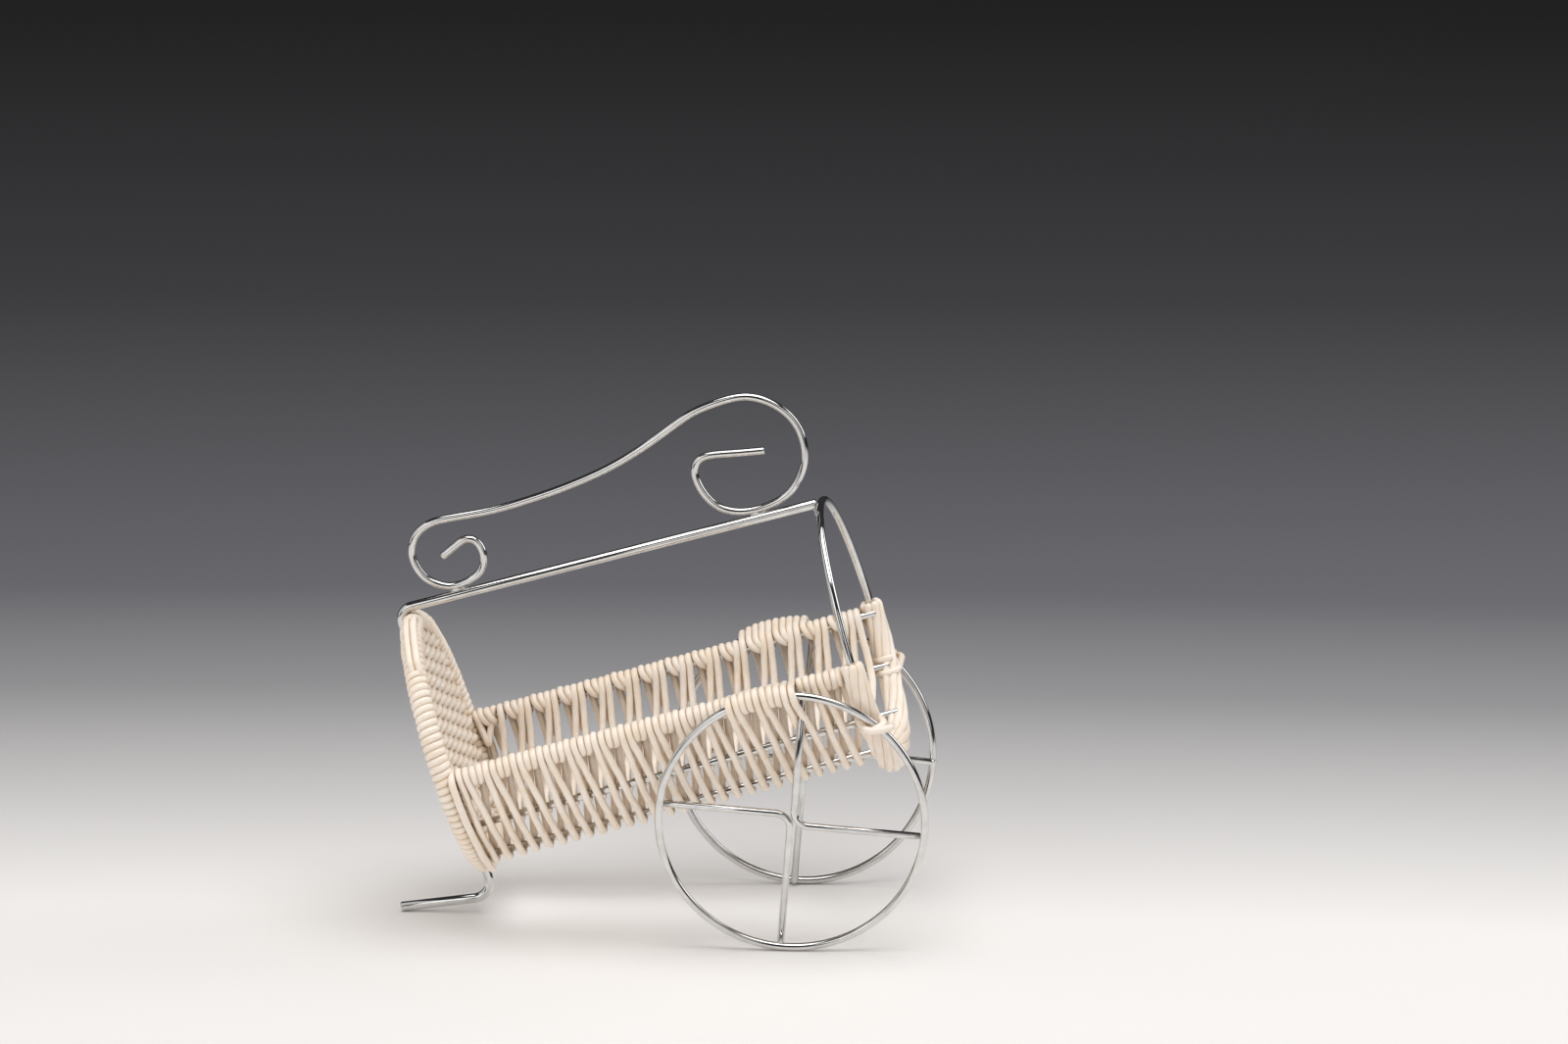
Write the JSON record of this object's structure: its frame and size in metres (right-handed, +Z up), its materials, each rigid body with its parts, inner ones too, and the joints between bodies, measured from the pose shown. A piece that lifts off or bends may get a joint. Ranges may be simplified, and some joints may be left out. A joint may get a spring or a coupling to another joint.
{
  "type": "wine bottle basket",
  "caption": "Tilted bottle cradle of bright wire with strand-wound side walls, a filled oval back, a scroll handle over a spine wire, and fixed wire wheels.",
  "frame": {"origin": "on the floor under the middle of the basket's bounding box", "axes": "+X points the way the bottle's neck points, +Z is up, +Y is to the left of someone who looks along +X"},
  "size_m": [0.193, 0.1116, 0.1936],
  "materials": {
    "spine_wire": "bright plated wire",
    "scroll_handle": "bright plated wire",
    "hoop_wire": "bright plated wire",
    "frame_wire": "bright plated wire",
    "rail_wire": "bright plated wire",
    "wheel_wire": "bright plated wire",
    "lashing_strand": "satin cream cane strand",
    "wall_strand": "satin cream cane strand",
    "whipping_strand": "satin cream cane strand",
    "panel_weave": "woven cream cane strand"
  },
  "bodies": {
    "root": {"spine_wire": "spine_wire", "scroll_handle": "scroll_handle", "front_hoop": "hoop_wire", "back_frame": "frame_wire", "rim_rail_right": "rail_wire", "rim_rail_left": "rail_wire", "middle_rail_right": "rail_wire", "middle_rail_left": "rail_wire", "low_rail_right": "rail_wire", "low_rail_left": "rail_wire", "wheel_ring_right": "wheel_wire", "wheel_ring_left": "wheel_wire", "front_spoke_right": "wheel_wire", "rear_spoke_right": "wheel_wire", "front_spoke_left": "wheel_wire", "rear_spoke_left": "wheel_wire", "wheel_lashing_right": "lashing_strand", "wheel_lashing_left": "lashing_strand", "wall_strand_right": "wall_strand", "wall_strand_left": "wall_strand", "back_whipping": "whipping_strand", "front_whipping": "whipping_strand", "back_panel": "panel_weave"}
  },
  "joints": []
}
